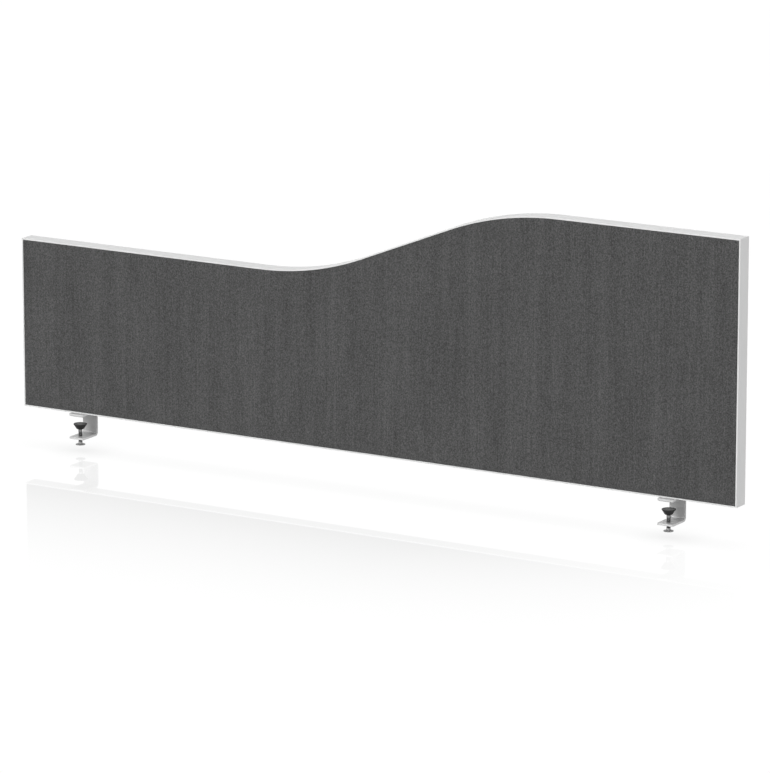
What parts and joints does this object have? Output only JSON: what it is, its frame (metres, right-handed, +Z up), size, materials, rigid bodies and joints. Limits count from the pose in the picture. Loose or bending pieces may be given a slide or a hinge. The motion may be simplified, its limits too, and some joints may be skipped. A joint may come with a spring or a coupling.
{
  "type": "desk privacy panel",
  "caption": "Fabric-covered desktop screen with a wave top and plastic edge trim, held on a desk's rear edge by small screw clamps under it.",
  "frame": {"origin": "in the desk top's plane (the undersides of the jaw liners), under the middle of the panel's length and thickness", "axes": "+X along the panel towards its high end, +Y out of its back, +Z up; the jaws open towards -Y"},
  "size_m": [1.2, 0.0396, 0.4284],
  "materials": {
    "board": "matte",
    "foam": "matte",
    "charcoal_fabric": "matte",
    "grey_trim": "satin",
    "silver_paint": "satin",
    "liner_rubber": "matte",
    "zinc_steel": "satin",
    "black_plastic": "satin",
    "black_rubber": "matte"
  },
  "bodies": {
    "panel": {"core_board": "board", "front_foam": "foam", "back_foam": "foam", "front_cover": "charcoal_fabric", "back_cover": "charcoal_fabric", "top_trim": "grey_trim", "bottom_trim": "grey_trim", "left_trim": "grey_trim", "right_trim": "grey_trim", "left_bracket": "silver_paint", "left_jaw_liner": "liner_rubber", "left_bracket_screws": "zinc_steel", "right_bracket": "silver_paint", "right_jaw_liner": "liner_rubber", "right_bracket_screws": "zinc_steel"},
    "left_pad": {"left_pressure_pad": "black_plastic", "left_pad_facing": "black_rubber"},
    "left_screw": {"left_clamp_screw": "zinc_steel"},
    "right_pad": {"right_pressure_pad": "black_plastic", "right_pad_facing": "black_rubber"},
    "right_screw": {"right_clamp_screw": "zinc_steel"}
  },
  "joints": [
    {"name": "left_pad_lift", "type": "slide", "parent": "panel", "child": "left_pad", "axis": [0, 0, 1], "range_m": [-0.0068, 0.005]},
    {"name": "left_screw_turn", "type": "hinge", "parent": "left_pad", "child": "left_screw", "pos_m": [-0.502, -0.0085, -0.0176], "axis": [0, 0, 1], "range_deg": [-2448.5, 1800.5]},
    {"name": "right_pad_lift", "type": "slide", "parent": "panel", "child": "right_pad", "axis": [0, 0, 1], "range_m": [-0.0068, 0.005]},
    {"name": "right_screw_turn", "type": "hinge", "parent": "right_pad", "child": "right_screw", "pos_m": [0.4915, -0.0085, -0.0176], "axis": [0, 0, 1], "range_deg": [-2448.5, 1800.5]}
  ],
  "couplings": [
    {"joint": "left_screw_turn", "follows": "left_pad_lift", "rad_per_m": 6283.2},
    {"joint": "right_screw_turn", "follows": "right_pad_lift", "rad_per_m": 6283.2}
  ]
}
